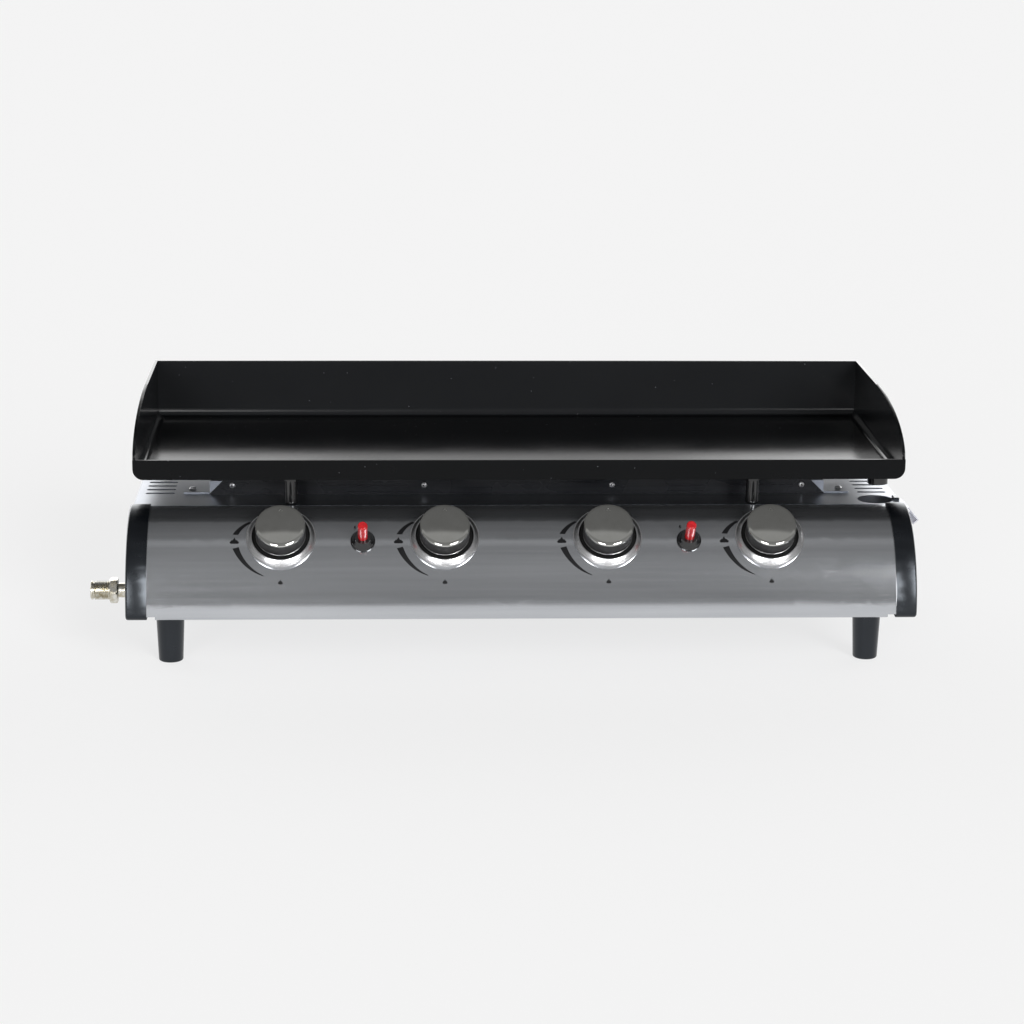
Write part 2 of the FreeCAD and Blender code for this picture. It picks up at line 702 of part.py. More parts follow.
# ---------------------------------------------------------------- manifold, inlet, jets
def make_gas_manifold():
    """Pipe behind the panel, closed at the right, with a hole under each tap."""
    axis = V(manifold_x0, manifold_y, manifold_height)
    length = knob_xs[-1] + manifold_tail - manifold_x0
    pipe = rod(axis, X, manifold_radius, length).cut(rod(axis, X, manifold_bore, length - manifold_plug))
    return cut_all(pipe, [rod(V(x, manifold_y, manifold_height), Z, jet_bore, 2 * manifold_radius)
                          for x in knob_xs])


def make_gas_inlet():
    """Male hose fitting: threaded nose, hexagon, neck and a spigot in the manifold."""
    tip = V(inlet_tip_x, manifold_y, manifold_height)
    shoulder = tip + X * (inlet_thread_length + inlet_hex_length)
    body = rod(tip, X, inlet_thread_radius, inlet_thread_length)
    body = body.fuse(hexagon(inlet_hex_flats, inlet_hex_length, tip + X * inlet_thread_length, X))
    body = body.fuse(rod(shoulder, X, inlet_neck_radius, manifold_x0 - shoulder.x))
    body = body.fuse(rod(V(manifold_x0, manifold_y, manifold_height), X, manifold_bore - running,
                         inlet_spigot))
    return body.cut(rod(tip, X, inlet_bore, manifold_x0 + inlet_spigot - tip.x)).removeSplitter()


def make_injectors():
    """Brass jets screwed into the tap outlets."""
    jets = []
    y = front + outlet_setback
    for x in knob_xs:
        start = V(x, y, burner_z)
        jet = hexagon(jet_flats, jet_hex_length, start, Y)
        jet = jet.fuse(Part.makeCone(*jet_cone, start + Y * jet_hex_length, Y))
        jet = jet.fuse(rod(start, -Y, jet_bore, jet_hex_length))
        jets.append(jet.cut(rod(start - Y * through / 2, Y, jet_hole, through)).removeSplitter())
    return group(jets)


# ---------------------------------------------------------------- burners and their sensors
def make_burner(x):
    """Tube burner: bell mouth with air windows, two rows of ports, stub at the rear."""
    mouth = front + burner_mouth_setback
    end = box_back - burner_end_gap
    length = end - mouth
    inner = burner_radius - burner_wall
    bell = max(burner_bell_radius, burner_radius)
    outline = [(bell - burner_wall, 0), (bell, 0), (burner_radius, burner_bell_length),
               (burner_radius, length), (0, length), (0, length - 2 * burner_wall),
               (inner, length - 2 * burner_wall), (inner, burner_bell_length)]
    tube = turned(outline, Y, V(x, mouth, burner_z))
    tube = tube.fuse(rod(V(x, end - burner_wall, burner_z), Y, burner_stub_radius,
                         box_back + burner_stub_tip - end + burner_wall))
    window = mouth + air_window_start
    cutters = [box(x - 2 * burner_radius, x + 2 * burner_radius, window, window + air_window_length,
                   burner_z - air_window_height / 2, burner_z + air_window_height / 2)]
    first = box_front + port_margin
    lean = math.radians(port_lean)
    for i in range(int((end - port_pitch - first) / port_pitch) + 1):
        for side in SIDES:
            direction = V(side * math.sin(lean), 0, math.cos(lean))
            cutters.append(rod(V(x, first + i * port_pitch, burner_z), direction, port_radius,
                               2 * burner_radius))
    return cut_all(tube, cutters)


def make_thermocouples():
    """Flame sensors through the box wall, each with its lead to the tap."""
    sensors = []
    for x in knob_xs:
        sx = x + sensor_offset
        start = V(sx, box_front - sensor_tail, sensor_z)
        tip = rod(start, Y, sensor_radius, sensor_length)
        end = panel_place(x, knob_station).multVec(V(0, 0, barrel_radius / 2 - barrel_depth))
        low_z = burner_z - outlet_radius
        lead = tube_path([start, start - Y * barrel_radius - Z * outlet_radius,
                          V(sx, front + outlet_setback + 2, low_z), V(x + barrel_radius, end.y, end.z)],
                         lead_radius)
        barrel = on_panel(rod(V(0, 0, -barrel_depth), Z, barrel_radius, barrel_depth), x, knob_station)
        sensors.append(tip.fuse(lead).cut(barrel).removeSplitter())
    return group(sensors)


def make_spark_electrodes():
    """Ceramic rods through the box wall, each with a bent wire that points at a burner."""
    rods = []
    for i in electrode_burners:
        x = knob_xs[i] + electrode_offset
        body = rod(V(x, box_front - electrode_tail, sensor_z), Y, electrode_radius, electrode_length)
        end = V(x, box_front - electrode_tail + electrode_length, sensor_z)
        bend = end + Y * 10
        wire = tube_path([end - Y * 2, bend, bend + V(14, 4, 4)], electrode_wire)
        rods.append(body.fuse(wire).removeSplitter())
    return group(rods)


# ---------------------------------------------------------------- igniters
def make_igniter_body(x):
    """Conical collar on the panel, barrel through it and the sealed spark unit behind."""
    skirt = igniter_collar_radius / 2
    collar = turned([(0, -skirt), (igniter_collar_radius, -skirt), (igniter_collar_radius, igniter_rim),
                     (igniter_collar_radius - 1, igniter_rim + 0.8),
                     (igniter_mouth_radius, igniter_collar_height), (0, igniter_collar_height)])
    collar = on_panel(collar, x, igniter_station).cut(
        quarter_bar(x - through, x + through, 0, base_height - 1, panel_axis_y + 5))
    barrel = on_panel(rod(V(0, 0, -igniter_depth), Z, igniter_barrel_radius, igniter_depth + 2), x,
                      igniter_station)
    bore = rod(V(0, 0, -button_inner - button_travel - 1), Z, button_radius + running, through)
    return collar.fuse(barrel).cut(on_panel(bore, x, igniter_station)).removeSplitter()


def make_igniter_button(x):
    """Push button with a rounded end."""
    button = rod(V(0, 0, -button_inner), Z, button_radius, button_inner + button_height)
    button = button.makeFillet(button_rounding, edges_where(button, lambda p: near(p.z, button_height)))
    return on_panel(button, x, igniter_station)


def make_igniter_nuts():
    """Ring nuts behind the panel; each meets the panel's inner face."""
    nuts = []
    for x in igniter_xs:
        nut = hexagon(igniter_nut_flats, 2 * igniter_nut_depth, V(0, 0, -igniter_nut_depth), Z)
        nut = on_panel(nut, x, igniter_station).common(
            quarter_bar(x - through, x + through, sheet, base_height, panel_axis_y))
        hole = rod(V(0, 0, -through / 2), Z, igniter_barrel_radius, through)
        nuts.append(nut.cut(on_panel(hole, x, igniter_station)))
    return group(nuts)


# ---------------------------------------------------------------- grease tray and its guides
def make_grease_tray():
    """Pull-out pan under the grease hole, with rims, a face plate and a bent handle."""
    face_out = tray_face + sheet
    pan = box(tray_x0, face_out, tray_front, tray_front + tray_width, tray_bottom, tray_top)
    inside = box(tray_x0 + tray_sheet, tray_face, tray_front + tray_sheet,
                 tray_front + tray_width - tray_sheet, tray_bottom + tray_sheet, tray_top + 1)
    pan = pan.cut(inside)
    for y in (tray_front - tray_rim, tray_front + tray_width):
        pan = pan.fuse(box(tray_x0, side_x - 2 * sheet, y, y + tray_rim, tray_top - sheet, tray_top))
    middle = tray_front + tray_width / 2
    x, z, t = face_out, top - tray_face_drop, sheet
    pan = pan.fuse(box(tray_face, face_out, tray_front - tray_rim, tray_rear + tray_face_margins[1],
                       tray_bottom - tray_face_margins[0], z))
    tip, low, hook = x + handle_reach, z - handle_drop, handle_hook
    outline = [(x - t, z - t), (x - t, z), (x + 0.4 * handle_reach, z), (tip, low),
               (tip - hook, low - 0.9 * hook), (tip - hook - 0.65 * t, low - 0.9 * hook + 0.75 * t),
               (tip - 1.4 * t, low), (x + 0.4 * handle_reach - 0.6 * t, z - t)]
    handle = prism_xz(outline, middle - handle_width / 2, middle + handle_width / 2)
    return pan.fuse(handle).removeSplitter()


def make_tray_guides():
    """Two angle rails under the top sheet that carry the rims of the tray."""
    shelf_top = tray_top - sheet - free
    rails = []
    for leg_y, shelf_y in ((top_front + sheet, top_front + sheet),
                           (tray_rear + free, tray_rear + free + sheet - guide_shelf)):
        leg = box(tray_x0, side_x - 2 * sheet - free, leg_y, leg_y + sheet, shelf_top - sheet, top - sheet)
        shelf = box(tray_x0, side_x - 2 * sheet - free, shelf_y, shelf_y + guide_shelf,
                    shelf_top - sheet, shelf_top)
        rails.append(leg.fuse(shelf).removeSplitter())
    return group(rails)


# ---------------------------------------------------------------- cooking plate, posts, spout
def post_places():
    return [(post_offset + side * post_x, front + setback) for side in SIDES for setback in post_setbacks]


def make_cooking_plate():
    """Deep-drawn plate: low front lip, side walls that rise in a quarter ellipse, tall back."""
    half = plate_width / 2
    top_z = plate_bottom + wall_height
    lip_z = plate_bottom + lip_height
    w = plate_wall
    outer = box(-half, half, plate_front, plate_back, plate_bottom, top_z)
    outer = outer.makeFillet(plate_bend + w, [e for e in outer.Edges
                                              if near(e.CenterOfMass.z, plate_bottom)
                                              and near(abs(e.CenterOfMass.x), half)])
    inner = box(w - half, half - w, plate_front + w, plate_back - w, plate_bottom + w, top_z + 5)
    inner = inner.makeFillet(plate_bend, edges_where(inner, lambda p: near(p.z, plate_bottom + w)))
    kept = ellipse_bar(-half, half, plate_front + side_rise, lip_z, side_rise - w,
                       wall_height - lip_height)
    kept = kept.fuse(box(-half, half, plate_front, plate_back, plate_bottom - 1, lip_z))
    kept = kept.fuse(box(-half, half, plate_front + side_rise, plate_back, lip_z, top_z))
    tray = outer.cut(inner).common(kept)
    drain = rod(V(drain_x, drain_y, plate_bottom - 1), Z, drain_radius, plate_wall + 2)
    return tray.cut(drain).removeSplitter()


def make_drain_spout():
    """Short tube that leads the fat down to the grease hole."""
    return rod(V(drain_x, drain_y, plate_bottom), -Z, spout_radius, spout_length).cut(
        rod(V(drain_x, drain_y, plate_bottom), -Z, drain_radius, spout_length))


def make_plate_posts():
    """Posts under the plate: collar, round body on the top sheet, spigot through it."""
    posts = []
    for x, y in post_places():
        post = rod(V(x, y, top), Z, post_radius, plate_gap)
        post = post.makeFillet(2.2, edges_where(post, lambda p: near(p.z, top)))
        post = post.fuse(hexagon(2 * collar_radius, collar_height, V(x, y, plate_bottom), -Z))
        post = post.fuse(rod(V(x, y, top), -Z, spigot_radius, spigot_length))
        posts.append(post.removeSplitter())
    return group(posts)


# ---------------------------------------------------------------- build every node
def build():
    parts["control_panel"] = make_control_panel()
    parts["end_cap_left"] = make_end_cap(-1)
    parts["end_cap_right"] = make_end_cap(1)
    parts["top_frame"] = make_top_frame()
    parts["side_panel_left"] = make_side_panel(-1)
    parts["side_panel_right"] = make_side_panel(1)
    parts["back_panel"] = make_back_panel()
    parts["base_pan"] = make_base_pan()
    parts["sheet_screws"] = make_sheet_screws()
    for (side, row), name in foot_names.items():
        parts[name] = make_foot(side * foot_x, foot_ys[row])
    parts["foot_screws"] = make_foot_screws()
    parts["burner_box"] = make_burner_box()
    parts["front_wind_shield"] = make_wind_shield(box_front - sheet)
    parts["rear_wind_shield"] = make_wind_shield(box_back)
    parts["shield_rivets"] = make_shield_rivets()
    for i, x in enumerate(knob_xs, 1):
        parts["burner_%d" % i] = make_burner(x)
        parts["valve_body_%d" % i] = make_valve_body(x)
        parts["valve_plug_%d" % i] = make_valve_plug(x)
        parts["valve_stem_%d" % i] = make_valve_stem(x)
        parts["knob_grip_%d" % i] = make_knob_grip(x)
        parts["knob_cap_%d" % i] = make_knob_cap(x)
    parts["knob_bezels"] = make_knob_bezels()
    parts["knob_springs"] = make_knob_springs()
    parts["gas_manifold"] = make_gas_manifold()
    parts["gas_inlet"] = make_gas_inlet()
    parts["injectors"] = make_injectors()
    for name, x in zip(("left", "right"), igniter_xs):
        parts["igniter_body_" + name] = make_igniter_body(x)
        parts["igniter_button_" + name] = make_igniter_button(x)
    parts["igniter_nuts"] = make_igniter_nuts()
    parts["thermocouples"] = make_thermocouples()
    parts["spark_electrodes"] = make_spark_electrodes()
    parts["grease_tray"] = make_grease_tray()
    parts["tray_guides"] = make_tray_guides()
    parts["cooking_plate"] = make_cooking_plate()
    parts["plate_posts"] = make_plate_posts()
    parts["drain_spout"] = make_drain_spout()


def export():
    """Write each node, moved so that the origin is under the middle of the whole object."""
    os.makedirs("parts", exist_ok=True)
    for name, shape in parts.items():
        shape.translate(X * centre_shift)
        shape.exportStep("parts/%s.step" % name)
        print("%-20s solids %2d  valid %s  volume %10.1f" % (
            name, len(shape.Solids), shape.isValid(), shape.Volume))


build()
export()
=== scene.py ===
import json
import math

import bmesh
import bpy
from mathutils import Matrix, Vector


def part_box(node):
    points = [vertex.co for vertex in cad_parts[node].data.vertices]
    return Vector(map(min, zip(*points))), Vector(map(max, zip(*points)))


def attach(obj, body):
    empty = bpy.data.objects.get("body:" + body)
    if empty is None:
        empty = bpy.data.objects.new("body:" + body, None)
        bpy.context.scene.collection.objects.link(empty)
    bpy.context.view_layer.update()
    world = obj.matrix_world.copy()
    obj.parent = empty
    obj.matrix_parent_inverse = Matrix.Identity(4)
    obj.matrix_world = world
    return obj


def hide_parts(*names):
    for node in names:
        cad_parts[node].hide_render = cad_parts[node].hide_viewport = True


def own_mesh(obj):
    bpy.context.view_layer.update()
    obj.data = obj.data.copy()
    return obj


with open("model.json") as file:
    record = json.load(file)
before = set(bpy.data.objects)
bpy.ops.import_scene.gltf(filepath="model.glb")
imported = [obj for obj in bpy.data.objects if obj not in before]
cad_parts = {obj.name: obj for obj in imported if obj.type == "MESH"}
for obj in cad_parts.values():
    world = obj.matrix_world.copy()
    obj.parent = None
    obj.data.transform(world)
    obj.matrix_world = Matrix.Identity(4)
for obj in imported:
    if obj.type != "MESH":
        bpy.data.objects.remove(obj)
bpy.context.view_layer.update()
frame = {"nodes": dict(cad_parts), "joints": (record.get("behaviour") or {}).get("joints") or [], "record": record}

MM = 0.001
X, Z = Vector((1, 0, 0)), Vector((0, 0, 1))

# ---------------------------------------------------------------- chosen values
CAMERA_LENS = 97.47                          # millimetres, on a sensor 36 mm wide
CAMERA_PLACE = (-0.1413, -2.8828, 0.8427)    # metres, from the middle of the housing
CAMERA_TURN = (2.74, 14.0, 0.54)             # degrees to the right, down and anticlockwise

FLOOR_REACH = 40.0                           # metres from the middle to each edge
FLOOR_GLOW = 0.715
# Light of the sky round the X axis, from ahead of the object (0) over the top to behind it (1).
SKY_STOPS = [(0.0, 0.24), (0.045, 0.25), (0.11, 0.28), (0.21, 0.31), (0.27, 0.30), (0.32, 0.26),
             (0.385, 0.26), (0.397, 0.36), (0.43, 0.38), (0.439, 0.17), (0.50, 0.16), (0.56, 0.13),
             (0.64, 0.10), (0.72, 0.2), (0.79, 0.6), (0.88, 2.0), (0.97, 2.0), (1.0, 1.2)]
# Softboxes: edges sideways and upward in degrees (rise start and end, fall start and end), light.
LEFT_BOX = ((-30, -24, -9.5, -8.5), (1, 2.5, 18, 32), 12.0)
RIGHT_BOX = ((15, 16.5, 32, 38), (5, 8, 34, 44), 15.0)
BEHIND = (2.3, 2.7)                          # radians round X where the back light takes over
BEHIND_LEFT, BEHIND_MIDDLE, BEHIND_RIGHT = 1.9, 0.75, 1.3

DISH_REACH, DISH_CURVE = 0.24, 0.16          # enamelled floor: dished part behind the lip, bend
RARE_SPECK = 0.988                           # share of the enamel's cells that hold no speck

# Millimetres below.
KNOB_RADIUS = 25.2
SKIRT_FOOT, SKIRT_TOP = 5.4, 19.3            # heights above the panel
RIB_COUNT, RIB_HALF_DEPTH = 120, 0.22
CAP_FOOT, CAP_CROWN = 19.35, 23.75
CAP_FALL, CAP_FLAT_RADIUS = 1.15, 23.6       # how far the cap's face falls, and at what radius
INK = (0.01, 0.10)                           # underside and top of printed marks above the panel
# Small flames of the knobs' scales: place across and up from the knob's axis, and size.
SCALE_FLAMES = ((-49.3, -5.0, 0.56), (-46.7, -3.8, 0.86), (-43.9, -5.2, 0.52),
                (-1.2, -46.4, 0.36), (0.1, -46.0, 0.50), (1.3, -46.5, 0.34))
SPRING_WIRE, SPRING_TURNS = 0.6, 4           # radius of the wire
# Rounding of CAD nodes' edges, for the light that they catch.
ROUNDED = {"cooking_plate": 0.5, "end_cap_left": 0.5, "end_cap_right": 0.5,
           "igniter_body_left": 0.5, "igniter_body_right": 0.5, "knob_bezels": 0.3}

# ---------------------------------------------------------------- places taken from the frame
mid_x = (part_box("end_cap_left")[0].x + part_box("end_cap_right")[1].x) / 2
panel_low, panel_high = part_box("control_panel")
panel_depth = panel_high.y - panel_low.y
panel_height = panel_high.z - panel_low.z
joints = {joint["name"]: joint for joint in frame["joints"]}


def station_of(axis):
    """Angle up the panel's ellipse where its outward normal is this axis."""
    axis = Vector(axis)
    return math.atan2(abs(axis.z) * panel_height, abs(axis.y) * panel_depth)


def panel_frame(x, station):
    """Matrix with its origin on the panel, +Z out of it and +Y up its slope."""
    origin = Vector((x, panel_high.y - panel_depth * math.cos(station),
                     panel_low.z + panel_height * math.sin(station)))
    out = Vector((0, -math.cos(station) / panel_depth, math.sin(station) / panel_height))
    out.normalize()
    up = out.cross(X)
    return Matrix(((X.x, up.x, out.x, origin.x), (X.y, up.y, out.y, origin.y),
                   (X.z, up.z, out.z, origin.z), (0, 0, 0, 1)))


def panel_drop(place, up_slope):
    """Local height of the panel's curved surface this far up the slope from a place on it."""
    start = place @ Vector((0, up_slope, 0))
    out = place.to_3x3() @ Z
    dy, dz = start.y - panel_high.y, start.z - panel_low.z
    a = (out.y / panel_depth) ** 2 + (out.z / panel_height) ** 2
    b = 2 * (dy * out.y / panel_depth ** 2 + dz * out.z / panel_height ** 2)
    c = (dy / panel_depth) ** 2 + (dz / panel_height) ** 2 - 1
    return (-b + math.sqrt(max(b * b - 4 * a * c, 0))) / (2 * a)


lip_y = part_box("cooking_plate")[0].y
face_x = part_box("side_panel_right")[1].x
knob_places = [panel_frame(joints["knob_%d_turn" % i]["pos_m"][0],
                           station_of(joints["knob_%d_turn" % i]["axis"])) for i in range(1, 5)]
igniter_places = {}
for side in ("left", "right"):
    low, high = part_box("igniter_button_" + side)
    igniter_places[side] = panel_frame((low.x + high.x) / 2,
                                       station_of(joints["igniter_%s_press" % side]["axis"]))


# ---------------------------------------------------------------- camera
def make_camera():
    """Long lens, from a little to the left and 14 degrees above."""
    data = bpy.data.cameras.new("camera")
    camera = bpy.data.objects.new("camera", data)
    bpy.context.scene.collection.objects.link(camera)
    data.sensor_width = 36
    data.lens = CAMERA_LENS
    data.clip_end = 50
    yaw, pitch, roll = (math.radians(angle) for angle in CAMERA_TURN)
    ahead = Vector((math.sin(yaw) * math.cos(pitch), math.cos(yaw) * math.cos(pitch),
                    -math.sin(pitch)))
    right = Vector((math.cos(yaw), -math.sin(yaw), 0))
    up = right.cross(ahead)
    level = right * math.cos(roll) + up * math.sin(roll)
    upright = up * math.cos(roll) - right * math.sin(roll)
    turn = Matrix((level, upright, -ahead)).transposed().to_4x4()
    camera.matrix_world = Matrix.Translation(Vector((mid_x, 0, 0)) + Vector(CAMERA_PLACE)) @ turn
    bpy.context.scene.camera = camera


# ---------------------------------------------------------------- node helpers
class Graph:
    """Short way to write a node tree."""

    def __init__(self, tree):
        self.tree = tree
        tree.nodes.clear()

    def add(self, kind, settings=None, **inputs):
        node = self.tree.nodes.new(kind)
        for name, value in (settings or {}).items():
            setattr(node, name, value)
        for name, value in inputs.items():
            key = int(name[1:]) if name[0] == "i" and name[1:].isdigit() else name.replace("_", " ")
            self.put(node.inputs[key], value)
        return node

    def put(self, socket, value):
        if isinstance(value, bpy.types.NodeSocket):
            self.tree.links.new(value, socket)
        elif isinstance(value, bpy.types.Node):
            self.tree.links.new(value.outputs[0], socket)
        else:
            socket.default_value = value

    def math(self, operation, a, b=0.0, c=0.0):
        return self.add("ShaderNodeMath", {"operation": operation}, i0=a, i1=b, i2=c).outputs[0]

    def remap(self, value, low, high, to_low=0.0, to_high=1.0, smooth=False):
        kind = {"interpolation_type": "SMOOTHSTEP" if smooth else "LINEAR"}
        node = self.add("ShaderNodeMapRange", kind, i0=value, i1=low, i2=high, i3=to_low,
                        i4=to_high)
        return node.outputs[0]

    def points(self, scale=(1, 1, 1)):
        """Object coordinates in metres, scaled."""
        place = self.add("ShaderNodeTexCoord").outputs["Object"]
        return self.add("ShaderNodeMapping", Vector=place, Scale=scale).outputs[0]

    def noise(self, scale, size=1.0, detail=2.0, rough=0.5):
        node = self.add("ShaderNodeTexNoise", Vector=self.points(scale), Scale=size, Detail=detail,
                        Roughness=rough)
        return node.outputs["Fac"]

    def blend(self, factor, dark, light):
        node = self.add("ShaderNodeMix", {"data_type": "RGBA"})
        self.put(node.inputs[0], factor)
        self.put(node.inputs[6], (*dark, 1))
        self.put(node.inputs[7], (*light, 1))
        return node.outputs[2]

    def bump(self, height, distance, strength=1.0, normal=None):
        node = self.add("ShaderNodeBump", Height=height, Distance=distance, Strength=strength)
        if normal is not None:
            self.put(node.inputs["Normal"], normal)
        return node.outputs[0]


def material(name, graph_maker):
    made = bpy.data.materials.new(name)
    made.use_nodes = True
    graph = Graph(made.node_tree)
    surface = graph_maker(graph)
    output = graph.add("ShaderNodeOutputMaterial")
    graph.put(output.inputs["Surface"], surface.outputs[0])
    return made


def surface(graph, colour, roughness, metallic=0.0, **extra):
    """Principled shader; colour and roughness may be sockets."""
    colour = (*colour, 1) if isinstance(colour, tuple) else colour
    return graph.add("ShaderNodeBsdfPrincipled", Base_Color=colour, Roughness=roughness,
                     Metallic=metallic, **extra)


# ---------------------------------------------------------------- materials
def brushed_panel(graph):
    """Stainless sheet brushed along X: long streaks and a fine grain."""
    streaks = graph.noise((5, 260, 260), detail=3)
    grain = graph.noise((22, 2600, 2600), detail=2)
    clouds = graph.noise((6, 9, 14), detail=2)
    tone = graph.math("MULTIPLY_ADD", streaks, 0.5, graph.math("MULTIPLY", clouds, 0.5))
    colour = graph.blend(graph.remap(tone, 0.3, 0.7), (0.475, 0.49, 0.515), (0.55, 0.565, 0.59))
    roughness = graph.remap(graph.math("ADD", streaks, grain), 0.6, 1.4, 0.10, 0.145)
    tangent = graph.add("ShaderNodeTangent", {"direction_type": "RADIAL", "axis": "X"})
    return surface(graph, colour, roughness, 0.95, Anisotropic=0.7, Tangent=tangent,
                   Normal=graph.bump(grain, 0.00003, 0.35))


def black_plastic(graph):
    """Moulded semi-gloss plastic with a fine grain."""
    grain = graph.noise((1, 1, 1), 1700, 2)
    flow = graph.noise((1, 1, 1), 38, 3)
    colour = graph.blend(graph.remap(flow, 0.3, 0.7), (0.0014, 0.0018, 0.0026),
                         (0.0024, 0.0030, 0.0042))
    return surface(graph, colour, graph.remap(flow, 0.3, 0.7, 0.25, 0.28), Specular_IOR_Level=0.55,
                   Specular_Tint=(0.84, 0.91, 1.0, 1), Normal=graph.bump(grain, 0.00004, 0.3))


def plated_sheet(graph):
    """Zinc-grey sheet with a faint spangle and rolling lines."""
    spangle = graph.add("ShaderNodeTexVoronoi", Vector=graph.points(), Scale=260.0).outputs["Color"]
    cloud = graph.noise((1, 1, 1), 16, 3)
    lines = graph.noise((900, 9, 900), detail=2)
    tone = graph.math("MULTIPLY", lines, 0.25)
    tone = graph.math("MULTIPLY_ADD", cloud, 0.5, tone)
    tone = graph.math("MULTIPLY_ADD", spangle, 0.25, tone)
    colour = graph.blend(graph.remap(tone, 0.3, 0.7), (0.20, 0.215, 0.245), (0.24, 0.255, 0.285))
    return surface(graph, colour, graph.remap(tone, 0.3, 0.7, 0.30, 0.35), 1.0)


def dark_shield(graph):
    """Dark heat-resistant coating on rolled sheet."""
    lines = graph.noise((7, 300, 300), detail=3)
    cloud = graph.noise((1, 1, 1), 22, 2)
    colour = graph.blend(graph.remap(lines, 0.3, 0.7), (0.004, 0.0045, 0.006),
                         (0.008, 0.0085, 0.0105))
    return surface(graph, colour, graph.remap(cloud, 0.3, 0.7, 0.22, 0.30), Specular_IOR_Level=0.22,
                   Normal=graph.bump(lines, 0.00005, 0.2))


def bright_steel(graph):
    """Zinc-plated fasteners."""
    cloud = graph.noise((1, 1, 1), 420, 3)
    colour = graph.blend(graph.remap(cloud, 0.3, 0.7), (0.78, 0.78, 0.80), (0.90, 0.90, 0.92))
    return surface(graph, colour, graph.remap(cloud, 0.3, 0.7, 0.34, 0.46), 0.9)


def burner_steel(graph):
    """Stainless tube, a little blued and browned by heat."""
    heat = graph.noise((1, 1, 1), 24, 3)
    lines = graph.noise((900, 12, 900), detail=2)
    colour = graph.blend(graph.remap(heat, 0.35, 0.65), (0.42, 0.40, 0.38), (0.56, 0.54, 0.51))
    return surface(graph, colour, graph.remap(lines, 0.3, 0.7, 0.25, 0.4), 1.0)


def brass(graph):
    """Turned brass with light tarnish."""
    cloud = graph.noise((1, 1, 1), 90, 3)
    colour = graph.blend(graph.remap(cloud, 0.3, 0.7), (0.42, 0.30, 0.12), (0.62, 0.47, 0.2))
    return surface(graph, colour, graph.remap(cloud, 0.3, 0.7, 0.22, 0.38), 1.0)


def knob_rubber(graph):
    """Black skirt of the knobs."""
    grain = graph.noise((1, 1, 1), 2200, 2)
    tone = graph.noise((1, 1, 1), 60, 2)
    colour = graph.blend(tone, (0.007, 0.007, 0.0075), (0.014, 0.014, 0.015))
    return surface(graph, colour, graph.remap(tone, 0.3, 0.7, 0.36, 0.48),
                   Normal=graph.bump(grain, 0.00004, 0.4))


def smoked_chrome(graph):
    """Smoked mirror finish with very faint polishing haze."""
    haze = graph.noise((1, 1, 1), 75, 4, 0.6)
    colour = graph.blend(graph.remap(haze, 0.3, 0.7), (0.58, 0.58, 0.55), (0.63, 0.63, 0.605))
    return surface(graph, colour, graph.remap(haze, 0.3, 0.7, 0.045, 0.085), 1.0)


def bezel_steel(graph):
    """Spun satin steel."""
    cloud = graph.noise((1, 1, 1), 60, 3)
    grain = graph.noise((1, 1, 1), 2400, 2)
    colour = graph.blend(graph.remap(cloud, 0.3, 0.7), (0.60, 0.60, 0.61), (0.70, 0.70, 0.71))
    return surface(graph, colour, graph.remap(grain, 0.3, 0.7, 0.24, 0.32), 1.0,
                   Normal=graph.bump(grain, 0.00002, 0.3))


def drawn_steel(graph):
    """Plain drawn steel, for pipes and springs."""
    lines = graph.noise((10, 500, 500), detail=2)
    colour = graph.blend(graph.remap(lines, 0.3, 0.7), (0.40, 0.40, 0.41), (0.52, 0.52, 0.53))
    return surface(graph, colour, graph.remap(lines, 0.3, 0.7, 0.25, 0.36), 1.0)


def worn_nickel(graph):
    """Nickel plate that is turning warm and dull in places."""
    patch = graph.noise((1, 1, 1), 210, 4, 0.6)
    colour = graph.blend(graph.remap(patch, 0.38, 0.62), (0.50, 0.46, 0.36), (0.72, 0.71, 0.66))
    return surface(graph, colour, graph.remap(patch, 0.3, 0.7, 0.32, 0.16), 1.0,
                   Normal=graph.bump(patch, 0.00005, 0.3))


def gloss_black(graph):
    """Glossy black plastic."""
    ripple = graph.noise((1, 1, 1), 120, 2)
    colour = graph.blend(ripple, (0.005, 0.005, 0.0055), (0.009, 0.009, 0.0095))
    return surface(graph, colour, graph.remap(ripple, 0.3, 0.7, 0.08, 0.15), Specular_IOR_Level=0.7,
                   Normal=graph.bump(ripple, 0.0002, 0.1))


def gloss_red(graph):
    """Glossy red plastic, a little deeper in tone where the moulding flows."""
    flow = graph.noise((1, 1, 1), 260, 2)
    colour = graph.blend(graph.remap(flow, 0.3, 0.7), (0.34, 0.004, 0.007), (0.46, 0.009, 0.013))
    return surface(graph, colour, graph.remap(flow, 0.3, 0.7, 0.16, 0.26), Specular_IOR_Level=0.6)


def copper(graph):
    tarnish = graph.noise((1, 1, 1), 130, 3)
    colour = graph.blend(graph.remap(tarnish, 0.3, 0.7), (0.36, 0.16, 0.08), (0.62, 0.32, 0.2))
    return surface(graph, colour, graph.remap(tarnish, 0.3, 0.7, 0.24, 0.4), 1.0)


def ceramic(graph):
    cloud = graph.noise((1, 1, 1), 160, 3)
    colour = graph.blend(cloud, (0.70, 0.68, 0.62), (0.82, 0.80, 0.75))
    return surface(graph, colour, graph.remap(cloud, 0.3, 0.7, 0.18, 0.3))


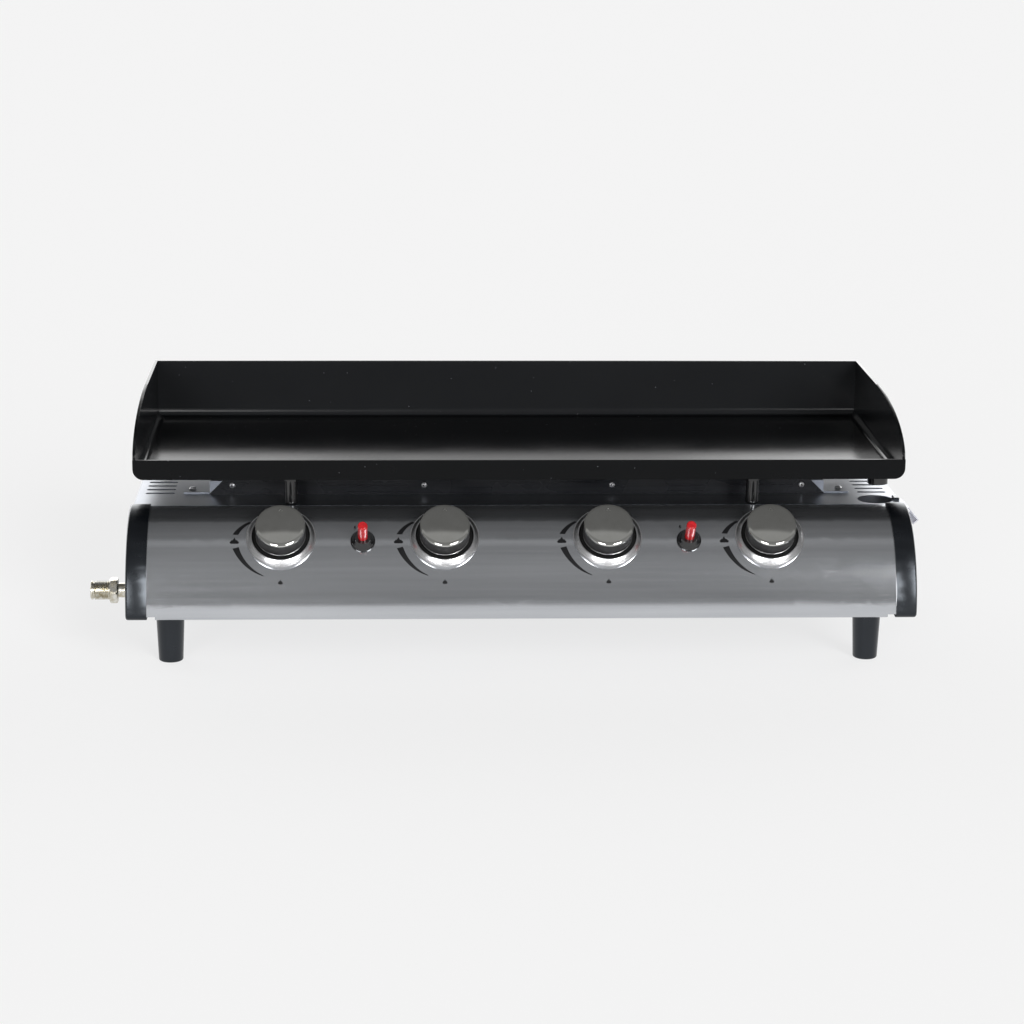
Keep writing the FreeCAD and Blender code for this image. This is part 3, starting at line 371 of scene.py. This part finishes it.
def tray_sheet(graph):
    """Pale face and handle of the grease tray; its pan inside the housing is painted near-black as painted shade.
    """
    cloud = graph.noise((1, 1, 1), 40, 3)
    along = graph.add("ShaderNodeSeparateXYZ", Vector=graph.points()).outputs[0]
    # Everything inside the side face is painted near-black: painted shade inside the housing, seen through the
    # grease hole.
    outside = graph.remap(along, face_x - 0.003, face_x - 0.001)
    tone = graph.math("MULTIPLY", outside, graph.math("MULTIPLY_ADD", cloud, 0.3, 0.7))
    colour = graph.blend(tone, (0.012, 0.011, 0.011), (0.58, 0.58, 0.64))
    return surface(graph, colour, graph.remap(cloud, 0.3, 0.7, 0.3, 0.42), 0.45)


def enamel(graph):
    """Black vitreous enamel: slight orange peel, sparse pale specks, floor dished to the front; walls and
    underside behind the lip painted lighter than the floor and lip, as painted light.
    """
    cells = graph.add("ShaderNodeTexVoronoi", Vector=graph.points(), Scale=420.0)
    near = graph.remap(cells.outputs["Distance"], 0.10, 0.16, 1.0, 0.0)
    chance = graph.add("ShaderNodeSeparateColor", Color=cells.outputs["Color"]).outputs[0]
    chosen = graph.remap(chance, RARE_SPECK, RARE_SPECK + 0.001)
    specks = graph.math("MULTIPLY", near, chosen)
    cloud = graph.noise((1, 1, 1), 12, 3)
    peel = graph.noise((1, 1, 1), 230, 2)
    place = graph.add("ShaderNodeSeparateXYZ", Vector=graph.points())
    normal = graph.add("ShaderNodeNewGeometry").outputs["Normal"]
    upright = graph.add("ShaderNodeSeparateXYZ", Vector=normal).outputs[2]
    # Walls and underside behind the lip are painted lighter than the flat floor and the lip: painted light on one
    # enamel.
    flat = graph.remap(upright, 0.8, 0.9)
    inside = graph.remap(place.outputs[1], lip_y + 0.004, lip_y + 0.012)
    painted_wall_light = graph.math("MULTIPLY", inside, graph.math("SUBTRACT", 1.0, flat))
    tone = graph.math("MULTIPLY_ADD", painted_wall_light, 0.85, graph.math("MULTIPLY", cloud, 0.15))
    enamel_with_painted_light = graph.blend(tone, (0.0018, 0.0020, 0.0023), (0.0115, 0.0122, 0.0132))
    colour = graph.add("ShaderNodeMix", {"data_type": "RGBA"})
    graph.put(colour.inputs[0], specks)
    graph.put(colour.inputs[6], enamel_with_painted_light)
    graph.put(colour.inputs[7], (0.28, 0.29, 0.31, 1))
    back = graph.math("MAXIMUM", graph.math("SUBTRACT", lip_y + DISH_REACH, place.outputs[1]), 0.0)
    sag = graph.math("MULTIPLY", graph.math("MULTIPLY", back, back), -DISH_CURVE)
    dished = graph.bump(graph.math("MULTIPLY", sag, graph.remap(upright, 0.8, 0.81)), 1.0)
    return surface(graph, colour.outputs[2], graph.remap(cloud, 0.3, 0.7, 0.13, 0.18),
                   Specular_IOR_Level=0.11, Normal=graph.bump(peel, 0.00025, 0.10, dished))


def printed_black(graph):
    """Screen-printed ink."""
    grain = graph.noise((1, 1, 1), 1500, 2)
    colour = graph.blend(grain, (0.004, 0.004, 0.0045), (0.008, 0.008, 0.009))
    return surface(graph, colour, graph.remap(grain, 0.3, 0.7, 0.5, 0.65), Specular_IOR_Level=0.15)


def painted_shade_black(graph):
    """Near-black paint as painted shade: inside the knob wells and in the rivet heads."""
    grain = graph.noise((1, 1, 1), 800, 2)
    colour = graph.blend(grain, (0.004, 0.004, 0.004), (0.008, 0.008, 0.008))
    return surface(graph, colour, graph.remap(grain, 0.3, 0.7, 0.6, 0.8), Specular_IOR_Level=0.2)


def pointer_metal(graph):
    """Slightly duller metal of the knobs' pointers."""
    grain = graph.noise((1, 1, 1), 1500, 2)
    colour = graph.blend(grain, (0.26, 0.26, 0.25), (0.34, 0.34, 0.32))
    return surface(graph, colour, graph.remap(grain, 0.3, 0.7, 0.3, 0.4), 1.0)


SLOT_MAKERS = {
    "panel_steel": brushed_panel, "cap_plastic": black_plastic, "top_sheet": plated_sheet,
    "housing_sheet": plated_sheet, "shield_sheet": dark_shield, "fastener_steel": bright_steel,
    "burner_steel": burner_steel, "tap_brass": brass, "knob_plastic": knob_rubber,
    "knob_chrome": smoked_chrome, "bezel_steel": bezel_steel, "spring_steel": drawn_steel,
    "pipe_steel": drawn_steel, "inlet_zinc": worn_nickel, "igniter_plastic": gloss_black,
    "button_plastic": gloss_red, "sensor_copper": copper, "electrode_ceramic": ceramic,
    "tray_steel": tray_sheet, "enamel": enamel, "post_enamel": gloss_black,
}
finishes = {name: material(name, maker) for name, maker in SLOT_MAKERS.items()}
finishes["print"] = material("print", printed_black)
finishes["well"] = material("well", painted_shade_black)
finishes["pointer"] = material("pointer", pointer_metal)


def paint_nodes():
    """Every CAD node gets the material of its record slot."""
    for part in frame["record"]["subparts"]:
        mesh = frame["nodes"][part["node"]].data
        mesh.materials.clear()
        mesh.materials.append(finishes[part["material_slot"]])


# ---------------------------------------------------------------- studio
def make_studio():
    """Pale floor and a soft sky: bright behind, two softboxes in front, dim overhead."""
    floor_mesh = bpy.data.meshes.new("floor")
    signs = ((-1, -1), (1, -1), (1, 1), (-1, 1))
    floor_mesh.from_pydata([(x * FLOOR_REACH, y * FLOOR_REACH, 0) for x, y in signs], [],
                           [(0, 1, 2, 3)])
    floor = bpy.data.objects.new("floor", floor_mesh)
    bpy.context.scene.collection.objects.link(floor)
    floor_mesh.materials.append(material("floor_paint", lambda graph: surface(
        graph, (0.22, 0.22, 0.22), 0.9, Emission_Color=(1, 1, 1, 1), Emission_Strength=FLOOR_GLOW,
        Specular_IOR_Level=0.0)))

    world = bpy.data.worlds.new("studio")
    bpy.context.scene.world = world
    world.use_nodes = True
    graph = Graph(world.node_tree)
    direction = graph.add("ShaderNodeTexCoord").outputs["Generated"]
    parts = graph.add("ShaderNodeSeparateXYZ", Vector=direction)
    x, y, z = parts.outputs
    toward = graph.math("MULTIPLY", y, -1.0)
    round_x = graph.math("ARCTAN2", z, toward)      # 0 ahead of the object, pi behind it
    sideways = graph.math("ARCTAN2", x, toward)     # 0 ahead of the object, positive to the right
    ramp = graph.add("ShaderNodeValToRGB", Fac=graph.math("DIVIDE", round_x, math.pi))
    elements = ramp.color_ramp.elements
    while len(elements) < len(SKY_STOPS):
        elements.new(0.5)
    for element, (place, light) in zip(elements, SKY_STOPS):
        element.position = place
        element.color = (light, light, light, 1)

    def window(value, edges):
        rise_start, rise_end, fall_start, fall_end = (math.radians(edge) for edge in edges)
        return graph.math("MULTIPLY", graph.remap(value, rise_start, rise_end, smooth=True),
                          graph.remap(value, fall_start, fall_end, 1, 0, smooth=True))

    def softbox(across, up, light):
        seen = graph.math("MULTIPLY", window(sideways, across), window(round_x, up))
        return graph.math("MULTIPLY", seen, light)

    boxes = graph.math("ADD", softbox(*LEFT_BOX), softbox(*RIGHT_BOX))
    sides = graph.math("ADD", graph.remap(x, -0.12, 0.0, BEHIND_LEFT, BEHIND_MIDDLE),
                       graph.remap(x, 0.1, 0.17, 0, BEHIND_RIGHT))
    behind = graph.math("MULTIPLY", graph.remap(round_x, *BEHIND), sides)
    shade = graph.math("ADD", behind, graph.remap(round_x, *BEHIND, 1.0, 0.0))
    light = graph.math("MULTIPLY_ADD", ramp.outputs[0], shade, boxes)
    background = graph.add("ShaderNodeBackground", Color=light, Strength=1.0)
    output = graph.add("ShaderNodeOutputWorld")
    graph.put(output.inputs["Surface"], background.outputs[0])
    view = bpy.context.scene.view_settings
    view.view_transform = "Standard"
    view.look = "None"


# ---------------------------------------------------------------- mesh helpers
def piece(name, verts, faces, finish, body="root", sharp=35, slot=None):
    """Closed mesh piece that rides on a CAD body."""
    mesh = bpy.data.meshes.new(name)
    mesh.from_pydata([tuple(v) for v in verts], [], faces)
    shape = bmesh.new()
    shape.from_mesh(mesh)
    bmesh.ops.remove_doubles(shape, verts=shape.verts, dist=1e-7)
    bmesh.ops.recalc_face_normals(shape, faces=shape.faces)
    shape.to_mesh(mesh)
    shape.free()
    mesh.polygons.foreach_set("use_smooth", [True] * len(mesh.polygons))
    mesh.set_sharp_from_angle(angle=math.radians(sharp))
    made = bpy.data.objects.new(name, mesh)
    bpy.context.scene.collection.objects.link(made)
    mesh.materials.append(finishes[finish])
    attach(made, body)
    return made


def spun(rows, place, segments=96):
    """Verts and faces of closed rows (radius, height, change of radius by angle), millimetres."""
    verts, faces = [], []
    for row in rows:
        for k in range(segments):
            angle = 2 * math.pi * k / segments
            radius = row[0] + (row[2](angle) if len(row) > 2 else 0)
            point = Vector((radius * math.cos(angle), radius * math.sin(angle), row[1]))
            verts.append(place @ (point * MM))
    count = len(rows)
    on_axis = rows[0][0] == 0 and rows[-1][0] == 0
    for i in range(count - 1 if on_axis else count):
        j = (i + 1) % count
        for k in range(segments):
            m = (k + 1) % segments
            faces.append((i * segments + k, i * segments + m, j * segments + m,
                          j * segments + k))
    return verts, faces


def joined(parts):
    """Several (verts, faces) in one mesh."""
    verts, faces = [], []
    for more_verts, more_faces in parts:
        start = len(verts)
        verts += more_verts
        faces += [tuple(start + k for k in face) for face in more_faces]
    return verts, faces


def print_strip(place, inner, outer):
    """Closed thin strip of ink on the panel between two rows of points in millimetres."""
    verts, faces = [], []
    for x, y in inner + outer:
        for lift in INK:
            drop = panel_drop(place, y * MM)
            verts.append(place @ Vector((x * MM, y * MM, drop + lift * MM)))
    count = len(inner)
    for i in range(count - 1):
        a, b, c, d = 2 * i, 2 * i + 2, 2 * (count + i + 1), 2 * (count + i)
        faces += [(a, b, c, d), (a + 1, d + 1, c + 1, b + 1), (a, a + 1, b + 1, b),
                  (c, c + 1, d + 1, d)]
    for a, b in ((0, 2 * count), (2 * count - 2, 4 * count - 2)):
        faces.append((a, b, b + 1, a + 1))
    return verts, faces


def arc_mark(place, start, end, inner, outer, steps=28):
    """Arc of ink whose inner and outer radius change evenly from start to end (degrees)."""
    rows = ([], [])
    for i in range(steps + 1):
        part = i / steps
        angle = math.radians(start + (end - start) * part)
        for row, (first, last) in zip(rows, (inner, outer)):
            radius = first + (last - first) * part
            row.append((radius * math.cos(angle), radius * math.sin(angle)))
    return print_strip(place, *rows)


FLAME_LEFT = [(-0.2, -4.2), (-2.0, -3.9), (-3.3, -2.8), (-3.7, -1.2), (-3.2, 0.6), (-2.2, 0.2),
              (-1.7, 1.6), (-0.9, 3.0), (-0.1, 4.5)]
FLAME_RIGHT = [(0.2, -4.2), (1.9, -3.8), (3.1, -2.7), (3.5, -1.0), (3.2, 0.9), (2.3, 0.0),
               (1.5, 1.2), (0.8, 2.7), (0.1, 4.5)]


def flame_mark(place, x, y, size):
    """Generic flame of ink."""
    sides = [[(x + size * u, y + size * v) for u, v in side] for side in (FLAME_LEFT, FLAME_RIGHT)]
    return print_strip(place, *sides)


# ---------------------------------------------------------------- detailed pieces
def make_knob_pieces(index, place):
    """Ribbed skirt with its foot ring, domed cap with its pointer, and a near-black disc below as painted shade in
    the bezel's well.
    """
    name, body = "_%d" % index, "knob_%d" % index

    def ribs(angle):
        return -RIB_HALF_DEPTH * (1 + math.cos(RIB_COUNT * angle))

    def face(radius):
        return CAP_CROWN - CAP_FALL * (radius / CAP_FLAT_RADIUS) ** 2

    skirt = [(25.0, SKIRT_FOOT), (KNOB_RADIUS, 5.6, ribs), (KNOB_RADIUS, 18.9, ribs),
             (24.9, SKIRT_TOP), (4.06, SKIRT_TOP), (4.06, 4.7), (8.3, 4.7), (8.5, 4.9), (8.5, 15.3),
             (22.7, 15.3), (22.7, SKIRT_FOOT)]
    grip = piece("knob_skirt" + name, *spun(skirt, place, 8 * RIB_COUNT), "knob_plastic", body,
                 slot="knob_plastic")
    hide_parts("knob_grip" + name)
    ring = [(24.95, 4.5), (KNOB_RADIUS, 4.65), (KNOB_RADIUS, 5.25), (25.0, 5.38), (22.8, 5.38),
            (22.8, 4.5)]
    piece("knob_ring" + name, *spun(ring, place, 160), "bezel_steel", body)
    dome = [(0, CAP_FOOT), (25.0, CAP_FOOT), (KNOB_RADIUS, 19.6), (KNOB_RADIUS, 21.3),
            (25.05, 21.7), (24.55, 22.15), (24.1, 22.42), (CAP_FLAT_RADIUS, 22.6)]
    dome += [(radius, face(radius)) for radius in [2.4 * k for k in range(9, 0, -1)]]
    dome.append((0, CAP_CROWN))
    cap = piece("knob_dome" + name, *spun(dome, place, 160), "knob_chrome", body, sharp=24)
    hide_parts("knob_cap" + name)
    bars = []
    for side in (-1, 1):
        verts = []
        for x, y in ((0, 19.6), (0, 18.9), (side * 1.5, 16.4), (side * 1.9, 16.6)):
            for lift in (-0.3, 0.09):
                verts.append(place @ (Vector((x, y, face(y) + lift)) * MM))
        bars.append((verts, [(0, 2, 4, 6), (1, 7, 5, 3), (0, 1, 3, 2), (2, 3, 5, 4), (4, 5, 7, 6),
                             (6, 7, 1, 0)]))
    piece("knob_pointer" + name, *joined(bars), "pointer", body)
    # Near-black disc in the bezel's well: painted shade where the panel lies in shadow round the knob.
    well_shade = [(11.5, 1.02), (29.1, 1.02), (29.1, 1.3), (11.5, 1.3)]
    piece("knob_seal" + name, *spun(well_shade, place, 96), "well")


def make_prints():
    """Flame scale left of every knob and a spark beside every button, all generic."""
    marks = []
    for place in knob_places:
        marks.append(arc_mark(place, 175.5, 147, (43.2, 35.8), (48.8, 38.6)))
        marks.append(arc_mark(place, 194.8, 247, (43.6, 43.4), (50.0, 44.0)))
        marks += [flame_mark(place, *flame) for flame in SCALE_FLAMES]
    for place in igniter_places.values():
        spark = ([(-8.3, 19.4), (-9.4, 16.0), (-7.9, 16.0), (-8.9, 13.0)],
                 [(-7.0, 19.4), (-7.7, 16.9), (-6.5, 16.9), (-8.8, 13.0)])
        marks.append(print_strip(place, *spark))
    piece("panel_marks", *joined(marks), "print")


def clusters(node, gap=5 * MM):
    """Boxes of a CAD node's separate pieces, split at gaps along X and then along Y."""
    found = [[Vector(v.co) for v in frame["nodes"][node].data.vertices]]
    for axis in (0, 1):
        split = []
        for group in found:
            group.sort(key=lambda point: point[axis])
            split.append([group[0]])
            for before, point in zip(group, group[1:]):
                if point[axis] - before[axis] > gap:
                    split.append([])
                split[-1].append(point)
        found = split
    return [(Vector(map(min, *group)), Vector(map(max, *group))) for group in found]


def make_rivet_core_shade():
    """Near-black discs in the heads of the shield rivets: painted shade in the holes at their centres."""
    core_discs = []
    for low, high in clusters("shield_rivets"):
        middle = (low + high) / 2
        facing = -1 if middle.y < 0 else 1
        tip = low.y if facing < 0 else high.y
        turn = Matrix(((1, 0, 0), (0, 0, facing), (0, 1, 0))).to_4x4()
        place = Matrix.Translation((middle.x, tip, middle.z)) @ turn
        core_discs.append(spun([(0, -0.6), (1.3, -0.6), (1.3, -0.02), (0, -0.02)], place, 24))
    piece("rivet_core_shade", *joined(core_discs), "well")


def make_inlet():
    """Male hose fitting with a real M20 x 1.5 thread, hexagon, neck and spigot."""
    low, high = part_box("gas_inlet")
    middle = (low + high) / 2
    place = Matrix.Translation((low.x, middle.y, middle.z))
    place = place @ Matrix.Rotation(math.radians(90), 4, "Y")
    pitch, depth, thread_start, thread_end = 1.5, 0.85, 4.2, 18.6

    def thread_at(height):
        def shape(angle):
            turn = (height / pitch - angle / (2 * math.pi)) % 1.0
            fade = min(1, max(0, (height - thread_start) / 0.8),
                       max(0, (thread_end - height) / 0.8))
            return -depth * (1 - 2 * abs(turn - 0.5)) * fade if fade > 0 else 0
        return shape

    def hexagon(drop):
        def shape(angle):
            sector = (angle + math.pi / 6) % (math.pi / 3) - math.pi / 6
            return min(12.0 / math.cos(sector), 13.75 - drop) - 12.0
        return shape

    rows = [(4.5, 0), (8.9, 0), (9.5, 0.5), (9.5, 2.2), (8.3, 2.5), (8.3, 3.6),
            (9.9, thread_start)]
    step = 0.25
    for i in range(1, int((thread_end - thread_start) / step)):
        height = thread_start + step * i
        rows.append((9.95, height, thread_at(height)))
    rows += [(9.6, thread_end), (8.9, 18.8), (8.9, 19.4), (11.6, 19.4),
             (12.0, 19.9, hexagon(0.9)), (12.0, 20.6, hexagon(0)), (12.0, 26.6, hexagon(0)),
             (12.0, 27.3, hexagon(0.9)), (11.6, 27.8), (8.2, 27.8), (7.5, 28.4), (7.5, 52.4),
             (5.94, 52.4), (5.94, 66.4), (4.5, 66.4)]
    made = piece("inlet_fitting", *spun(rows, place, 96), "inlet_zinc", slot="inlet_zinc", sharp=40)
    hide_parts("gas_inlet")


def make_springs():
    """Coil springs under the stems' collars."""
    per_turn, around = 32, 8
    steps = per_turn * SPRING_TURNS
    coils = frame["nodes"]["knob_springs"].data.vertices
    for number, place in enumerate(knob_places, 1):
        back = place.inverted()
        local = [back @ vertex.co / MM for vertex in coils]
        own = [point for point in local if math.hypot(point.x, point.y) < 10]
        low, high = min(point.z for point in own), max(point.z for point in own)
        radius = max(math.hypot(point.x, point.y) for point in own) - SPRING_WIRE
        rise = high - low - 2 * SPRING_WIRE
        verts, faces = [], []
        for i in range(steps + 1):
            angle = 2 * math.pi * i / per_turn
            out = Vector((math.cos(angle), math.sin(angle), 0))
            middle = out * radius + Z * (low + SPRING_WIRE + rise * i / steps)
            for k in range(around):
                turn = 2 * math.pi * k / around
                edge = (out * math.cos(turn) + Z * math.sin(turn)) * SPRING_WIRE
                verts.append(place @ ((middle + edge) * MM))
        for i in range(steps):
            for k in range(around):
                m = (k + 1) % around
                faces.append((i * around + k, i * around + m, (i + 1) * around + m,
                              (i + 1) * around + k))
        faces += [tuple(range(around)), tuple(steps * around + k for k in range(around))]
        made = piece("knob_spring_%d" % number, verts, faces, "spring_steel", slot="spring_steel")
        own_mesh(made)
        if number == 1:
            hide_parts("knob_springs")


def make_clip():
    """Small black clip on the right edge of the top sheet, beside the grease hole."""
    width, length = 5.8, 13
    sheet_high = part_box("top_frame")[1]
    hole_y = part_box("drain_spout")[0].y + 10.5 * MM
    corner = Vector((sheet_high.x - 6.2 * MM, hole_y - 6 * MM, sheet_high.z))
    verts, faces = [], []
    for height, inset in ((0, 0), (2.2, 0), (3.0, 0.8)):
        for x, y in ((inset, inset), (width - inset, inset), (width - inset, length - inset),
                     (inset, length - inset)):
            verts.append(corner + Vector((x, y, height)) * MM)
    for ring in (0, 4):
        for k in range(4):
            m = (k + 1) % 4
            faces.append((ring + k, ring + m, ring + 4 + m, ring + 4 + k))
    faces += [(0, 3, 2, 1), (8, 9, 10, 11)]
    piece("sheet_clip", verts, faces, "cap_plastic")


def soften(node, width):
    """Weld a CAD node and round its hard edges a little."""
    made = frame["nodes"][node]
    weld = made.modifiers.new("weld", "WELD")
    weld.merge_threshold = 1e-6
    bevel = made.modifiers.new("round", "BEVEL")
    bevel.width, bevel.segments = width * MM, 2
    bevel.limit_method, bevel.angle_limit = "ANGLE", math.radians(35)
    bevel.harden_normals = True


make_camera()
paint_nodes()
make_studio()
for number, knob_place in enumerate(knob_places, 1):
    make_knob_pieces(number, knob_place)
make_prints()
make_rivet_core_shade()
make_inlet()
make_springs()
make_clip()
for rounded_node, rounding in ROUNDED.items():
    soften(rounded_node, rounding)
